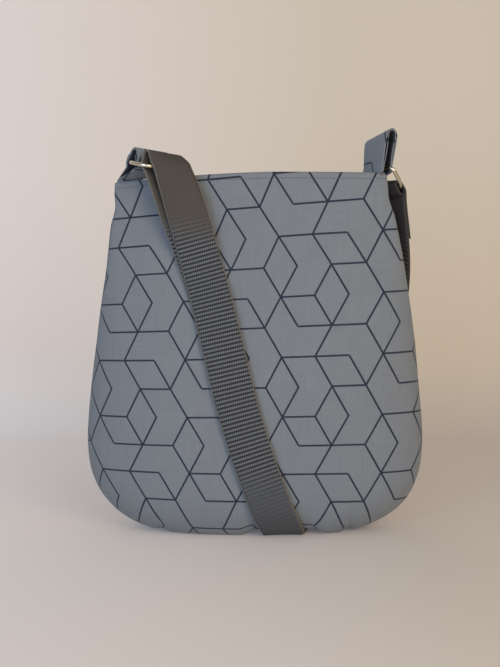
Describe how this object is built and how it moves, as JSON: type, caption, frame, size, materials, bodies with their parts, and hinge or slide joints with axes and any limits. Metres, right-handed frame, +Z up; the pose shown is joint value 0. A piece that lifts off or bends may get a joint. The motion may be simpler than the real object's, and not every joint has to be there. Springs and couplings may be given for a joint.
{
  "type": "crossbody bag",
  "caption": "Small canvas crossbody bag with a zipped mouth, D-rings on folded corner tabs, and a long adjustable webbing strap wrapped round the body.",
  "frame": {"origin": "under the middle of the overall box, on the ground that the bag stands on", "axes": "+Z up, +Y from the front panel to the back panel, +X to the right as seen from the front"},
  "size_m": [0.2534, 0.092, 0.3024],
  "materials": {
    "canvas": "matte printed cotton canvas",
    "lining": "matte plain cotton",
    "webbing": "ribbed matte webbing",
    "nickel": "polished nickel plate",
    "zip_tape": "matte woven tape",
    "zip_teeth": "satin"
  },
  "bodies": {
    "bag": {"outer_front_panel": "canvas", "outer_back_panel": "canvas", "lining_front": "lining", "lining_back": "lining", "tab_left": "canvas", "tab_right": "canvas", "strap_webbing": "webbing", "zip_tape_front": "zip_tape", "zip_tape_back": "zip_tape", "zip_teeth_front": "zip_teeth", "zip_teeth_back": "zip_teeth", "zip_top_stop_front": "zip_teeth", "zip_top_stop_back": "zip_teeth", "zip_bottom_stop": "zip_teeth"},
    "ring_left": {"ring_left": "nickel"},
    "ring_right": {"ring_right": "nickel"},
    "strap_slider": {"strap_slider": "nickel"},
    "zip_slider": {"zip_slider": "nickel"},
    "zip_pull": {"zip_pull": "nickel"}
  },
  "joints": [
    {"name": "ring_left_swing", "type": "hinge", "parent": "bag", "child": "ring_left", "pos_m": [-0.0789, -0.01303, 0.2742], "axis": [0.7726, 0.6321, -0.0602], "range_deg": [-75, 12], "deforming": ["strap_webbing"]},
    {"name": "ring_right_swing", "type": "hinge", "parent": "bag", "child": "ring_right", "pos_m": [0.0926, 0.00397, 0.2736], "axis": [-0.5519, 0.8329, 0.0401], "range_deg": [-80, 10], "deforming": ["strap_webbing"]},
    {"name": "strap_slide", "type": "slide", "parent": "bag", "child": "strap_slider", "axis": [0.3903, -0.0883, 0.9164], "range_m": [-0.035, 0.045], "deforming": ["strap_webbing"]},
    {"name": "zip_slide", "type": "slide", "parent": "bag", "child": "zip_slider", "axis": [1, 0, 0], "range_m": [-0.032, 0.094]},
    {"name": "zip_pull_turn", "type": "hinge", "parent": "zip_slider", "child": "zip_pull", "pos_m": [-0.039, -0.00303, 0.2643], "axis": [0, -1, 0], "range_deg": [0, 170]}
  ]
}
